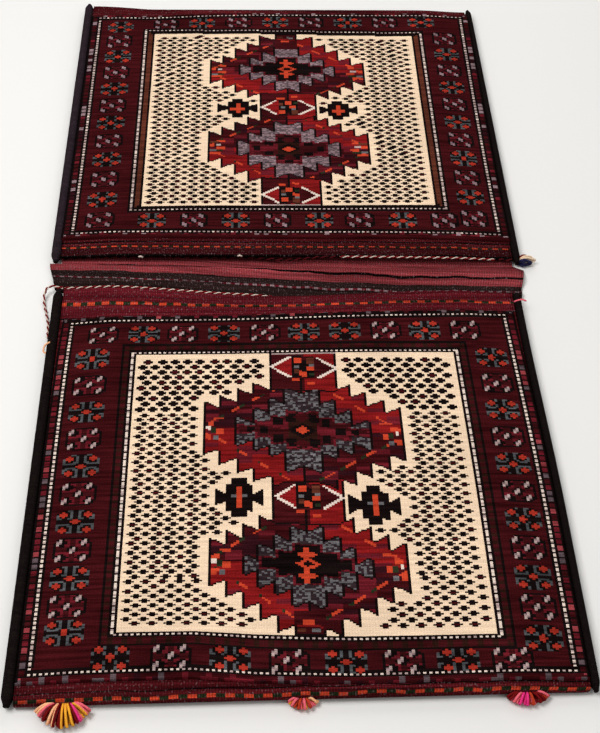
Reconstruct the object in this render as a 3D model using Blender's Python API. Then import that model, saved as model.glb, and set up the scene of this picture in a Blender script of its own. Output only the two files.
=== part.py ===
"""A double saddle bag: one woven strip folded up at both ends into two pockets, joined by a bridge.

X runs across the bag, +Y from the near pocket to the far one, and +Z up from the surface it lies on.
The origin is under the middle of the bridge. All lengths are in metres.
"""

import math

import bmesh
import bpy

# The cloth
STRIP_WIDTH = 0.5366  # woven width, without the side bindings
BAG_LENGTH = 0.530  # each pocket, from its fold to its mouth
MOUTH_GAP = 0.053  # bridge that shows between the two mouths
CLOTH_THICKNESS = 0.003  # flat weave
PILE_HEIGHT = 0.004  # how far the knotted pile stands above the flat weave
POCKET_GAP = 0.009  # room inside a pocket, in the middle
SIDE_GAP = 0.0055  # room inside a pocket, at its side seams
SIDE_SLOPE = 0.070  # width over which a pocket closes towards its seams
FOLD_BAND = 0.014  # flat weave between the fold and the pile
MOUTH_BAND = 0.037  # flat weave between the pile and the mouth
PILE_EDGE_SLOPE = 0.002
RIDGE_HEIGHT = 0.005  # two soft wrinkles in the bridge
RIDGE_PLACE = 0.0125  # of each wrinkle, from the middle of the bridge
MOUTH_SLANT = 0.0115  # the left corner of the near mouth lies this much further along than its middle
FAR_SLANT = 0.0092  # the same for the far pocket
SLANT_START = 0.075  # from the middle of the bridge, on the near pocket
SLANT_FULL = 0.020
FAR_DRAW = 0.0065  # the far pocket is this much shorter than the near one
FAR_EAR = 0.013  # its left corner is pulled out this much
EAR_WIDTH = 0.33  # shares of half the width and of the length over which it is
EAR_LENGTH = 0.15
SWELL = 0.0012  # soft waves in the faces
MOUTH_SAG = 0.0115  # the near mouth falls back this much in its middle
SAG_REACH = 0.23  # on each side of the middle
BRIDGE_FLARE = 0.013  # the bridge spreads this much past the pockets' cloth
BRIDGE_SKEW = 0.011  # and its left side is pulled this much further towards the far mouth
NEAR_DRAW = 0.010  # share by which the near pocket narrows towards its mouth
FAR_SPREAD = (0.0225, 0.0100)  # share by which the far pocket is wider, at its mouth and its fold
NEAR_WIDENS = 0.0045  # how far the near pocket's right side stands out towards its fold
WIDENS_FROM = 0.06  # distance from the middle of the bridge
WIDENS_OVER = 0.30
# How much further from the bridge a face's mouth and both ends of its pile lie than on an even bag
NEAR_SHIFTS = (0.0, 0.0050, 0.0020)
FAR_SHIFTS = (0.0043, -0.0038, -0.0031)

# The side bindings, mouth cords and tassels
BINDING_WIDTHS = {"left": 0.0125, "right": 0.0095}
BINDING_TAPER = 0.005  # length over which a binding narrows at its ends
BINDING_END = 0.75  # share of its section at the very end
CLEARANCE = 0.0003  # between pieces that touch
CORD_DIAMETER = 0.0034
TAIL_DIAMETER = 0.0036
CORD_SEAM = 0.0006  # between a mouth's edge and its cord
CORD_STANDS = 0.001  # how far a cord stands above the cloth it is sewn to
CORD_SINKS = 0.0047  # how far it rolls down, and then in under the cloth, where it can't be seen
CORD_TUCKS = 0.0048
CORD_TURN = 0.10  # length over which it does both

# The pattern is drawn in knots across the strip and rows along it.
KNOTS_ACROSS = 191
PILE_ROWS = 251
BORDER_KNOTS = (0, 2, 4, 6.5, 11.5, 16.5, 21.5, 24.5, 28.5, 31.5)
BORDER_ROWS = (0, 3, 5, 8.5, 13, 18, 22.5, 26, 30, 33)
FIELD_COLUMNS = 20
FIELD_STEPS = 30
BINDING_RUNS = 8
COARSE_COLUMNS = (0, 9, 12, 14, 16, 19, 22, 24, 26, 29, 38)
COARSE_ROWS = (0, 4, 9, 14, 19, 24, 29, 34, 39, 44, 48)
BACK_STRIPES = (0.10, 0.13, 0.48, 0.52, 0.87, 0.90)  # charcoal bands, in shares of a pocket's back
FOLD_SEGMENTS = 4
BRIDGE_SHARES = (0, 0.09, 0.28, 0.47, 0.66, 0.85, 1)  # section points across half the bridge

HALF_WIDTH = STRIP_WIDTH / 2
HALF_LENGTH = BAG_LENGTH + MOUTH_GAP / 2
PILE_LENGTH = BAG_LENGTH - FOLD_BAND - MOUTH_BAND
KNOT = STRIP_WIDTH / KNOTS_ACROSS
ROW = PILE_LENGTH / PILE_ROWS
FRONT_INSIDE = CLOTH_THICKNESS + POCKET_GAP
FRONT_OUTSIDE = FRONT_INSIDE + CLOTH_THICKNESS
PILE_NEAR_MOUTH = MOUTH_GAP / 2 + MOUTH_BAND  # distance of the pile's mouth side from the middle
PILE_NEAR_FOLD = PILE_NEAR_MOUTH + PILE_LENGTH
FLARE_RUN = MOUTH_GAP * 0.075  # the bridge flares between its last two lines of points

# Linear colour, roughness
WOOLS = {
    "maroon": ((0.070, 0.009, 0.014), 0.95),
    "ink": ((0.009, 0.006, 0.007), 0.95),
    "cream": ((0.78, 0.58, 0.33), 0.95),
    "red": ((0.22, 0.012, 0.014), 0.95),
    "orange": ((0.62, 0.060, 0.018), 0.95),
    "lilac_grey": ((0.105, 0.072, 0.082), 0.95),
    "slate_green": ((0.045, 0.060, 0.055), 0.95),
    "charcoal": ((0.016, 0.014, 0.014), 0.95),
    "goat_hair": ((0.022, 0.018, 0.018), 0.9),
    "pink": ((0.70, 0.08, 0.12), 0.9),
}


def wool(name):
    """The material of one dyed yarn."""
    if name in bpy.data.materials:
        return bpy.data.materials[name]
    colour, roughness = WOOLS[name]
    material = bpy.data.materials.new(name)
    material.use_nodes = True
    shader = material.node_tree.nodes["Principled BSDF"]
    shader.inputs["Base Color"].default_value = (*colour, 1)
    shader.inputs["Roughness"].default_value = roughness
    shader.inputs["Metallic"].default_value = 0
    material.diffuse_color = (*colour, 1)
    return material


def clear_scene():
    for obj in list(bpy.data.objects):
        bpy.data.objects.remove(obj, do_unlink=True)


def new_collection(name):
    collection = bpy.data.collections.new(name)
    bpy.context.scene.collection.children.link(collection)
    return collection


def smooth_step(value):
    value = min(max(value, 0.0), 1.0)
    return value * value * (3 - 2 * value)


# How the cloth lies


def pocket_opening(x):
    """Room inside a pocket at this place across it."""
    from_side = HALF_WIDTH - abs(x)
    return SIDE_GAP + (POCKET_GAP - SIDE_GAP) * smooth_step(from_side / SIDE_SLOPE)


def swell(x, y):
    """A face rises and falls a little, but not at its seams or its fold."""
    from_fold = HALF_LENGTH - abs(y)
    calm = smooth_step((HALF_WIDTH - abs(x)) / SIDE_SLOPE) * smooth_step(from_fold / SIDE_SLOPE)
    return SWELL * calm * math.sin(17 * x + 5 * y) * math.cos(13 * y - 4 * x + 0.6)


def slant(x, y):
    """How far along a point is moved, because the bag lies a little askew."""
    share = smooth_step((y + SLANT_START) / (SLANT_START - SLANT_FULL))
    most = MOUTH_SLANT + (FAR_SLANT - MOUTH_SLANT) * smooth_step(y / (MOUTH_GAP / 2))
    to_fold = max(y / HALF_LENGTH, 0.0)
    ear = smooth_step(1 + (to_fold - 1) / EAR_LENGTH) * smooth_step(1 - (1 + x / HALF_WIDTH) / EAR_WIDTH)
    return -most * share * x / HALF_WIDTH - FAR_DRAW * to_fold + FAR_EAR * ear


def bridge_ridge(y):
    """Height of the two wrinkles in the bridge."""
    from_ridge = abs(abs(y) - RIDGE_PLACE) / (RIDGE_PLACE * 0.8)
    return RIDGE_HEIGHT * 0.5 * (1 + math.cos(math.pi * min(from_ridge, 1.0)))


def front_lift(x, y):
    """How far a face's two surfaces move from their level place."""
    return pocket_opening(x) - POCKET_GAP + swell(x, y)


def front_shift(x, y):
    """How much further from the bridge a point of a face lies than on an even bag."""
    mouth, pile_start, pile_end = NEAR_SHIFTS if y < 0 else FAR_SHIFTS
    if y < 0:
        mouth += MOUTH_SAG * 0.5 * (1 + math.cos(math.pi * min(abs(x) / SAG_REACH, 1.0)))
    shift = mouth
    runs = ((MOUTH_GAP / 2, PILE_NEAR_MOUTH), (PILE_NEAR_MOUTH, PILE_NEAR_FOLD), (PILE_NEAR_FOLD, HALF_LENGTH))
    for (start, end), change in zip(runs, (pile_start - mouth, pile_end - pile_start, -pile_end)):
        shift += change * min(max((abs(y) - start) / (end - start), 0.0), 1.0)
    return shift if y > 0 else -shift


def spread(x, y):
    """How far a point moves outwards, because the bag isn't equally wide all along."""
    to_fold = min(abs(y) / HALF_LENGTH, 1.0)
    at_mouth, at_fold = FAR_SPREAD
    near = -NEAR_DRAW * (1 - to_fold)
    far = at_mouth + (at_fold - at_mouth) * to_fold
    return x * (near + (far - near) * smooth_step(y / MOUTH_GAP + 0.5))


def widening(x, y):
    """How far a point of the near face moves out to the right."""
    return NEAR_WIDENS * smooth_step(x / HALF_WIDTH) * smooth_step((-y - WIDENS_FROM) / WIDENS_OVER)


def flare(x, y):
    """The free edges of the bridge spread out past the ends of the bindings."""
    return BRIDGE_FLARE * x / HALF_WIDTH * smooth_step((MOUTH_GAP / 2 - abs(y)) / FLARE_RUN)


def skew(x, y):
    """How much more askew than the mouths the middle of the bridge lies."""
    return -BRIDGE_SKEW * x / HALF_WIDTH * (1 - (y / (MOUTH_GAP / 2)) ** 2)


def laid(point):
    """A point of the flat, even bag moved to where the cloth lies."""
    x, y, z = point
    raised = min(max((z - CLOTH_THICKNESS) / POCKET_GAP, 0.0), 1.0)
    if abs(y) > MOUTH_GAP / 2 - FLARE_RUN / 2:
        z += raised * front_lift(x, y)
        x, y = x + raised * widening(x, y), y + raised * front_shift(x, y)
    else:
        x, y = x + flare(x, y), y + skew(x, y)
    return x + spread(x, y), y + slant(x, y), z


# The pattern


def column_lines():
    """Places across the strip where colours change."""
    border = [knots * KNOT for knots in BORDER_KNOTS]
    field = STRIP_WIDTH - 2 * border[-1]
    inner = [border[-1] + field * i / FIELD_COLUMNS for i in range(1, FIELD_COLUMNS)]
    across = border + inner + [STRIP_WIDTH - place for place in reversed(border)]
    return [place - HALF_WIDTH for place in across]


def row_lines():
    """Places along a face where colours change, from the pile's mouth side."""
    border = [rows * ROW for rows in BORDER_ROWS]
    field = PILE_LENGTH - 2 * border[-1]
    inner = [border[-1] + field * j / FIELD_STEPS for j in range(1, FIELD_STEPS)]
    return border + inner + [PILE_LENGTH - place for place in reversed(border)]


def band_of(distance, lines):
    """Which border band a distance from the pile's edge is in, from 0, and 5 in the field."""
    edges = (lines[1], lines[2], lines[7], lines[8], lines[9])
    return sum(distance >= edge for edge in edges)


def octagon(along, across, half_along, half_across):
    """True inside a lozenge with its ends cut off."""
    along, across = abs(along) / half_along, abs(across) / half_across
    return along < 1 and across < 1 and across + 0.67 * along < 1.0


def border_rosette(knots, rows):
    """Colour of the main border, whose octagons alternate."""
    cell_rows = (PILE_ROWS - 2 * BORDER_ROWS[-1]) / FIELD_STEPS
    cell_knots = (KNOTS_ACROSS - 2 * BORDER_KNOTS[-1]) / FIELD_COLUMNS
    from_side = KNOTS_ACROSS / 2 - abs(knots)
    from_end = min(rows, PILE_ROWS - rows)
    if from_side < BORDER_KNOTS[7]:
        steps = (rows - BORDER_ROWS[-1]) / cell_rows
        turn = math.floor(steps / 3)
        along = (steps - 3 * turn - 1) * cell_rows
        across = from_side - 14
        inside = octagon(along, across, cell_rows, 7.5) and 0 <= steps < FIELD_STEPS
        heart = abs(across) < 2.5
    else:
        steps = (knots + KNOTS_ACROSS / 2 - BORDER_KNOTS[-1]) / cell_knots
        turn = math.floor(steps / 3)
        along = (steps - 3 * turn - 1) * cell_knots
        across = from_end - 15.5
        inside = octagon(along, across, cell_knots, 7)
        heart = abs(across) < 2.5
    if not inside:
        return "maroon"
    if turn % 2:
        return "orange" if heart else "slate_green"
    return "cream" if heart else "red"


def saw_diamond(columns, steps, half_columns, tip):
    """True inside a diamond with saw-tooth sides: each column's outer corner is a tip."""
    columns, steps = abs(columns), abs(steps)
    if columns >= half_columns:
        return False
    from_outside = half_columns - columns
    tooth = math.ceil(from_outside)
    height = tip + tooth - (from_outside - math.floor(from_outside))
    return steps < height - 1 + (from_outside == math.floor(from_outside))


def medallion(columns, steps):
    """Colour inside one medallion, or None outside it. Both are counted in pattern cells."""
    if not saw_diamond(columns, steps, 6, 3):
        return None
    if saw_diamond(columns, steps, 1, 1):
        return "orange"
    if saw_diamond(columns, steps, 2, 1):
        return "ink"
    if saw_diamond(columns, steps, 3, 0.9):
        return "red"
    if saw_diamond(columns, steps, 4, 2):
        return "lilac_grey"
    if not saw_diamond(columns, steps, 5, 3):
        return "maroon" if columns * steps < 0 else "red"
    return "red" if columns * steps > 0 else "maroon"


def field_colour(knots, rows):
    """Cream ground with small dark figures and two medallions."""
    columns = knots / ((KNOTS_ACROSS - 2 * BORDER_KNOTS[-1]) / FIELD_COLUMNS)
    steps = (rows - BORDER_ROWS[-1]) / ((PILE_ROWS - 2 * BORDER_ROWS[-1]) / FIELD_STEPS)
    for centre in (8, 22):
        found = medallion(columns, steps - centre)
        if found:
            return found
    if abs(columns) < 1:
        return "orange" if abs(steps - 15) < 1 and abs(columns) < 0.5 else "maroon"
    if abs(abs(columns) - 5) < 1 and abs(steps - 15) < 1:
        return "ink"
    if abs(abs(columns) - 5) < 2 and abs(steps - 15) < 1:
        return "cream"
    i, j = math.floor(columns + FIELD_COLUMNS / 2), math.floor(steps)
    near = [(i - FIELD_COLUMNS / 2 + 0.5 + a, j + 0.5 + b) for a in (-1, 0, 1) for b in (-1, 0, 1)]
    if any(saw_diamond(a, b - centre, 6, 3) for a, b in near for centre in (8, 22)):
        return "cream"
    small_figure = (i % 4 == 0 and j % 2 == 0) or (i % 4 == 2 and j % 2 == 1)
    return "ink" if small_figure else "cream"


def pile_colour(x, rows):
    """Colour of a pocket's face. Rows are counted from the mouth side."""
    knots = x / KNOT
    from_side = KNOTS_ACROSS / 2 - abs(knots)
    from_end = min(rows, PILE_ROWS - rows)
    band = min(band_of(from_side, BORDER_KNOTS), band_of(from_end, BORDER_ROWS))
    i, j = math.floor(knots / 6.4), math.floor(rows / 6.17)
    even = (i + j) % 2 == 0
    if band == 0:
        return "red" if even else "lilac_grey"
    if band == 1 or band == 4:
        return "cream" if even else "ink"
    if band == 3:
        return "red" if even else "ink"
    if band == 2:
        return border_rosette(knots, rows)
    return field_colour(knots, rows)


def face_colour(x, y):
    """Colour of the top of a pocket at a place of the flat, regular model."""
    from_middle = abs(y)
    into_pile = from_middle - PILE_NEAR_MOUTH
    if 0 <= into_pile <= PILE_LENGTH:
        return pile_colour(x, into_pile / ROW)
    dashes = abs(into_pile + MOUTH_BAND / 2) < MOUTH_BAND * 0.08
    if dashes:
        return "orange" if math.floor(x / (6.4 * KNOT)) % 2 else "slate_green"
    return "maroon"


def bridge_colour(y):
    """Weft stripes of the bridge, from the near mouth to the far one."""
    share = y / (MOUTH_GAP / 2)
    if share < 0:
        return "charcoal"
    return "ink" if 0.28 < share < 0.47 else "maroon"


def back_colour(share):
    """Weft stripes of a pocket's back. The share is 0 at the bridge and 1 at the fold."""
    stripes = zip(BACK_STRIPES[::2], BACK_STRIPES[1::2])
    return "charcoal" if any(low < share < high for low, high in stripes) else "maroon"


# The woven strip


def half_section():
    """The inner side of the far half of the strip, from the middle of the bridge to its mouth."""
    fold_radius = POCKET_GAP / 2
    fold_centre = HALF_LENGTH - CLOTH_THICKNESS - fold_radius
    bridge = [MOUTH_GAP / 2 * share for share in BRIDGE_SHARES]
    points = [(y, CLOTH_THICKNESS + bridge_ridge(y)) for y in bridge]
    backs = [MOUTH_GAP / 2 + BAG_LENGTH * share for share in BACK_STRIPES]
    points += [(y, CLOTH_THICKNESS) for y in backs]
    for i in range(FOLD_SEGMENTS + 1):
        angle = math.pi * i / FOLD_SEGMENTS
        away = fold_radius * math.sin(angle)
        points.append((fold_centre + away, CLOTH_THICKNESS + fold_radius * (1 - math.cos(angle))))
    rows = row_lines()
    for index in reversed(COARSE_ROWS):
        points.append((PILE_NEAR_MOUTH + rows[index], FRONT_INSIDE))
    points.append((MOUTH_GAP / 2, FRONT_INSIDE))
    return points


def swept_strip():
    """The inner side of the whole strip as an open surface."""
    half = half_section()
    section = [(-y, z) for y, z in reversed(half)] + half[1:]
    lines = column_lines()
    columns = [lines[index] for index in COARSE_COLUMNS]
    mesh = bmesh.new()
    points = [mesh.verts.new((columns[0], y, z)) for y, z in section]
    edges = [mesh.edges.new(pair) for pair in zip(points, points[1:])]
    for left, right in zip(columns, columns[1:]):
        made = bmesh.ops.extrude_edge_only(mesh, edges=edges)["geom"]
        moved = {item for item in made if isinstance(item, bmesh.types.BMVert)}
        edges = [
            item
            for item in made
            if isinstance(item, bmesh.types.BMEdge) and all(end in moved for end in item.verts)
        ]
        bmesh.ops.translate(mesh, verts=list(moved), vec=(right - left, 0, 0))
    mesh.normal_update()
    top = max(mesh.faces, key=lambda face: face.calc_center_median().z)
    if top.normal.z < 0:
        bmesh.ops.reverse_faces(mesh, faces=mesh.faces[:])
    return mesh


def cut_faces(mesh, mark, lines, axis):
    """Cuts the marked faces, and only those, along straight lines."""
    normal = (1, 0, 0) if axis == 0 else (0, 1, 0)
    for place in lines:
        faces = [face for face in mesh.faces if face[mark]]
        geometry = set(faces)
        for face in faces:
            geometry.update(face.verts)
            geometry.update(face.edges)
        bmesh.ops.bisect_plane(
            mesh,
            geom=list(geometry),
            dist=1e-6,
            plane_co=(place, place, 0),
            plane_no=normal,
        )


def split_on_diagonal(mesh, face):
    """Halves a four-sided face along the diagonal that its colours follow, if they do."""
    corners = list(face.verts)
    low = min(corners, key=lambda v: v.co.x + v.co.y)
    start = corners.index(low)
    low, right, high, left = (corners[(start + k) % 4] for k in range(4))
    if (right.co - low.co).y > (right.co - low.co).x:
        right, left = left, right
    centre = (low.co + high.co) / 2
    sides = [(low.co + right.co) / 2, (right.co + high.co) / 2, (high.co + left.co) / 2]
    sides.append((left.co + low.co) / 2)
    colours = [face_colour(*(centre + (side - centre) * 0.66).xy) for side in sides]
    bottom, east, top, west = colours
    if bottom == east and top == west and bottom != top:
        bmesh.utils.face_split(face, low, high)
    elif bottom == west and top == east and bottom != top:
        bmesh.utils.face_split(face, left, right)


def is_top_of_pocket(face):
    centre = face.calc_center_median()
    return face.normal.z > 0.9 and centre.z > FRONT_OUTSIDE - CLOTH_THICKNESS / 2


def colour_name(face):
    """Which yarn a face of the strip shows."""
    centre = face.calc_center_median()
    if abs(centre.y) < MOUTH_GAP / 2 and centre.z < FRONT_INSIDE - CLOTH_THICKNESS / 2:
        return bridge_colour(centre.y)
    if centre.z > FRONT_INSIDE + CLOTH_THICKNESS / 2:
        return face_colour(centre.x, centre.y)
    return back_colour((abs(centre.y) - MOUTH_GAP / 2) / BAG_LENGTH)


def build_strip(collection):
    """The cloth: swept, given its thickness, cut where colours change, and laid down."""
    mesh = swept_strip()
    bmesh.ops.solidify(mesh, geom=mesh.faces[:], thickness=-CLOTH_THICKNESS)
    bmesh.ops.recalc_face_normals(mesh, faces=mesh.faces[:])
    mesh.normal_update()
    mark = mesh.faces.layers.int.new("top")
    for face in mesh.faces:
        face[mark] = is_top_of_pocket(face)
    rows = [PILE_NEAR_MOUTH + place for place in row_lines()]
    rows += [rows[0] - PILE_EDGE_SLOPE, rows[-1] + PILE_EDGE_SLOPE]
    rows += [PILE_NEAR_MOUTH - MOUTH_BAND * share for share in (0.42, 0.58)]
    cut_faces(mesh, mark, [sign * place for place in rows for sign in (-1, 1)], 1)
    cut_faces(mesh, mark, column_lines()[1:-1], 0)
    for face in [face for face in mesh.faces if face[mark] and len(face.verts) == 4]:
        split_on_diagonal(mesh, face)
    names = list(WOOLS)
    for face in mesh.faces:
        face.material_index = names.index(colour_name(face))
    for point in mesh.verts:
        x, y, z = point.co
        into_pile = abs(y) - PILE_NEAR_MOUTH
        on_pile = -1e-5 < into_pile < PILE_LENGTH + 1e-5
        rise = PILE_HEIGHT if on_pile and z > FRONT_OUTSIDE - 1e-5 else 0.0
        x, y, z = laid((x, y, z))
        point.co = (x, y, z + rise)
    data = bpy.data.meshes.new("woven_strip")
    mesh.to_mesh(data)
    mesh.free()
    for name in names:
        data.materials.append(wool(name))
    obj = bpy.data.objects.new("woven_strip", data)
    collection.objects.link(obj)
    return obj


# Edges and trim


def poly_curve(name, points, bevel_depth, resolution, collection):
    """A tube along a chain of points, with closed ends."""
    data = bpy.data.curves.new(name, "CURVE")
    data.dimensions = "3D"
    data.bevel_depth = bevel_depth
    data.bevel_resolution = resolution
    data.use_fill_caps = True
    spline = data.splines.new("POLY")
    spline.points.add(len(points) - 1)
    for item, point in zip(spline.points, points):
        item.co = (*point, 1)
    obj = bpy.data.objects.new(name, data)
    collection.objects.link(obj)
    return obj


def oval_profile(name, width, height, helpers):
    """A closed oval curve that shapes the section of a binding."""
    data = bpy.data.curves.new(name, "CURVE")
    data.dimensions = "2D"
    data.fill_mode = "NONE"
    spline = data.splines.new("POLY")
    sides = 8
    spline.points.add(sides - 1)
    for index, item in enumerate(spline.points):
        angle = -2 * math.pi * (index + 0.5) / sides
        item.co = (width / 2 * math.cos(angle), height / 2 * math.sin(angle), 0, 1)
    spline.use_cyclic_u = True
    obj = bpy.data.objects.new(name, data)
    obj.hide_render = True
    obj.display_type = "WIRE"
    helpers.objects.link(obj)
    return obj


def build_bindings(collection, helpers):
    """Overcast edges that close the sides of both pockets."""
    height = 2 * CLOTH_THICKNESS + SIDE_GAP + PILE_HEIGHT
    reach = 1 / math.cos(math.pi / 8)
    runs = [BAG_LENGTH * step / BINDING_RUNS for step in range(1, BINDING_RUNS)]
    runs = [0, BINDING_TAPER, *runs, BAG_LENGTH - BINDING_TAPER, BAG_LENGTH]
    for pocket, end in (("near", -1), ("far", 1)):
        for side, sign in (("left", -1), ("right", 1)):
            name = f"binding_{pocket}_{side}"
            width = BINDING_WIDTHS[side]
            x = sign * (HALF_WIDTH + CLEARANCE + width / 2)
            profile = oval_profile(f"section_{pocket}_{side}", width * reach, height * reach, helpers)
            points = []
            for run in runs:
                y = end * (MOUTH_GAP / 2 + run)
                place = x + widening(x, y) + spread(x, y)
                points.append((place, y + slant(place, y), height / 2))
            binding = poly_curve(name, points, 0, 0, collection)
            binding.data.bevel_mode = "OBJECT"
            binding.data.bevel_object = profile
            binding.data.use_fill_caps = True
            binding.data.splines[0].points[0].radius = BINDING_END
            binding.data.splines[0].points[-1].radius = BINDING_END
            binding.data.materials.append(wool("goat_hair"))


def build_mouth_cords(collection):
    """Two-ply cords along the mouth edges. Half of each rolls in under its edge, out of sight."""
    radius = CORD_DIAMETER / 2
    steps = 16
    for pocket, end in (("near", -1), ("far", 1)):
        points = []
        for step in range(steps + 1):
            x = HALF_WIDTH * (2 * step / steps - 1)
            edge = end * MOUTH_GAP / 2
            x, y, rim = laid((x, edge, FRONT_OUTSIDE))
            turned = 0.5 - end * x / CORD_TURN
            rim -= CORD_SINKS * smooth_step(2 * turned)
            y += end * (CORD_TUCKS * smooth_step(2 * turned - 1) - radius - CORD_SEAM)
            points.append((x, y, rim - radius + CORD_STANDS))
        cord = poly_curve(f"mouth_cord_{pocket}", points, radius, 1, collection)
        cord.data.materials.append(wool("red"))


def smooth_path(points, steps):
    """A smooth curve through a few points, as a chain of short runs."""
    path = []
    for i in range(len(points) - 1):
        before, start = points[max(i - 1, 0)], points[i]
        end, after = points[i + 1], points[min(i + 2, len(points) - 1)]
        for step in range(steps):
            t = step / steps
            path.append(tuple(catmull_rom(*ends, t) for ends in zip(before, start, end, after)))
    return path + [points[-1]]


def catmull_rom(before, start, end, after, t):
    bend = (2 * before - 5 * start + 4 * end - after) * t * t
    twist = (3 * (start - end) + after - before) * t * t * t
    return 0.5 * (2 * start + (end - before) * t + bend + twist)


# The loose end of the near mouth cord: past the pocket's corner, then down and along its left side
TAIL_ROUTE = [
    (-0.2672, -0.0134, 0.0111),
    (-0.2745, -0.0120, 0.0114),
    (-0.2815, -0.0098, 0.0110),
    (-0.2872, -0.0125, 0.0088),
    (-0.2898, -0.0205, 0.0054),
    (-0.2890, -0.0310, 0.0028),
    (-0.2862, -0.0430, 0.0020),
    (-0.2832, -0.0560, 0.0020),
    (-0.2812, -0.0700, 0.0020),
    (-0.2806, -0.0860, 0.0020),
]


def build_cord_tail(collection):
    tail = poly_curve("cord_tail", smooth_path(TAIL_ROUTE, 2), TAIL_DIAMETER / 2, 2, collection)
    tail.data.materials.append(wool("red"))


# Name: place along its edge, width, reach away from the edge, height, number of ridges, yarn
FOLD_TASSELS = {
    "tassel_near_left": (-0.826 * HALF_WIDTH, 0.055, 0.026, 0.015, 9, "pink"),
    "tassel_near_middle": (0.008 * HALF_WIDTH, 0.031, 0.012, 0.011, 5, "orange"),
    "tassel_near_right": (0.794 * HALF_WIDTH, 0.043, 0.014, 0.012, 6, "pink"),
}
SIDE_TASSEL = (0.0225, 0.016, 0.022, 0.012, 4, "cream")
TASSEL_TUCK = 0.25  # share of a tassel's reach that is pressed flat against its edge


def tassel_mound(name, width, reach, height, ridges, yarn, collection):
    """A low ridged mound of yarn loops, with its flat back on the line y = 0 and the rest at y < 0."""
    mesh = bmesh.new()
    bmesh.ops.create_uvsphere(mesh, u_segments=12, v_segments=6, radius=1)
    for point in mesh.verts:
        x, y, z = point.co
        ridge = 1 - 0.12 * abs(math.sin(ridges * math.atan2(y, x) / 2)) * math.hypot(x, y)
        out = y * ridge * reach / (2 - TASSEL_TUCK * 2) - reach * (0.5 - TASSEL_TUCK)
        low = (max(z, -0.55) + 0.55) / 1.55
        point.co = (x * ridge * width / 2, min(out, 0.0), low * height + CLEARANCE)
    bmesh.ops.recalc_face_normals(mesh, faces=mesh.faces[:])
    data = bpy.data.meshes.new(name)
    mesh.to_mesh(data)
    mesh.free()
    data.shade_smooth()
    data.materials.append(wool(yarn))
    obj = bpy.data.objects.new(name, data)
    collection.objects.link(obj)
    return obj


def build_tassels(collection):
    """Three bunches under the near fold and one beside the far mouth's right corner."""
    for name, (place, *form) in FOLD_TASSELS.items():
        tassel = tassel_mound(name, *form, collection)
        tassel.location = (place, -HALF_LENGTH - CLEARANCE, 0)
    place, *form = SIDE_TASSEL
    tassel = tassel_mound("tassel_mouth_right", *form, collection)
    edge = HALF_WIDTH + CLEARANCE + BINDING_WIDTHS["right"]
    tassel.location = (edge + spread(edge, place) + CLEARANCE, place, 0)
    tassel.rotation_euler = (0, 0, math.pi / 2)


def main():
    clear_scene()
    collection = new_collection("double_saddle_bag")
    helpers = new_collection("sections")
    build_strip(collection)
    build_bindings(collection, helpers)
    build_mouth_cords(collection)
    build_cord_tail(collection)
    build_tassels(collection)


main()
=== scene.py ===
# %% [markdown]
# # A double saddle bag in knotted wool
#
# One woven strip is folded up at both ends into two pockets. Their faces are knotted pile and the rest is
# flat weave. Lengths are in metres, X runs across the bag, +Y from the near pocket to the far one, +Z up.

# %% Start
import math
import random

import bmesh
import bpy
import numpy as np
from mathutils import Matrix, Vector


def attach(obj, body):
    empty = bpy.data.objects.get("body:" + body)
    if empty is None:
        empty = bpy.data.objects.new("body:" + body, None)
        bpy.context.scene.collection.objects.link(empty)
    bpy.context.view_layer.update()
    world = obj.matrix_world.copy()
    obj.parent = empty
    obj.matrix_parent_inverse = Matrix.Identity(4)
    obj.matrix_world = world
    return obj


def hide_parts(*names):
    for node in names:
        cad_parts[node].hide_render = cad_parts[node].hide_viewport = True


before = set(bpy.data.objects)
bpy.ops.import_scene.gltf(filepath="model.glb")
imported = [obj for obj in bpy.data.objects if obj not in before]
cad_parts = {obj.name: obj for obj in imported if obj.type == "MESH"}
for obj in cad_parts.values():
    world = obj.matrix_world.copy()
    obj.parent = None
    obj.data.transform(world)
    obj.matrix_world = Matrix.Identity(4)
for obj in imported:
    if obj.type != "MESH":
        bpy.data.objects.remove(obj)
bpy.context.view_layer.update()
rng = random.Random(7)

# %% [markdown]
# ## Camera
#
# It stands before the near fold, a little to the left, and looks down on the bag.

# %% Camera
CAMERA_PLACE = (-0.0187, -1.1724, 1.18)
CAMERA_PITCH = 48.7  # degrees below the horizon
CAMERA_HEADING = 1.66  # degrees clockwise from +Y
FOCAL_LENGTH = 67.58  # millimetres, on a sensor 36 wide

lens = bpy.data.cameras.new("camera")
lens.lens = FOCAL_LENGTH
lens.sensor_width = 36
camera = bpy.data.objects.new("camera", lens)
camera.location = CAMERA_PLACE
camera.rotation_euler = (math.radians(90 - CAMERA_PITCH), 0, -math.radians(CAMERA_HEADING))
bpy.context.scene.collection.objects.link(camera)
bpy.context.scene.camera = camera

# %% [markdown]
# ## Sizes
#
# The same as the solid model's: how the cloth lies, how thick it is, and how densely it is knotted.

# %% Sizes
HALF_WIDTH = 0.2683
HALF_LENGTH = 0.5565
MOUTH = 0.0265  # of each pocket, from the middle of the bridge
CLOTH = 0.003  # thickness of the flat weave
PILE = 0.004  # height of the pile above it
POCKET_GAP = 0.009
SIDE_GAP = 0.0055
SIDE_SLOPE = 0.070
SWELL = 0.0012
RIDGE_HEIGHT = 0.005
RIDGE_PLACE = 0.0125
MOUTH_SLANT = 0.0115
FAR_SLANT = 0.0092
SLANT_START = 0.075
SLANT_FULL = 0.020
FAR_DRAW = 0.0065
FAR_EAR = 0.013
EAR_WIDTH = 0.33
EAR_LENGTH = 0.15
MOUTH_SAG = 0.0115
SAG_REACH = 0.23
BRIDGE_FLARE = 0.013
FLARE_RUN = 0.004
BRIDGE_SKEW = 0.011
NEAR_DRAW = 0.010
FAR_SPREAD = (0.0225, 0.0100)
NEAR_WIDENS = 0.0045
WIDENS_FROM = 0.06
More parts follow.
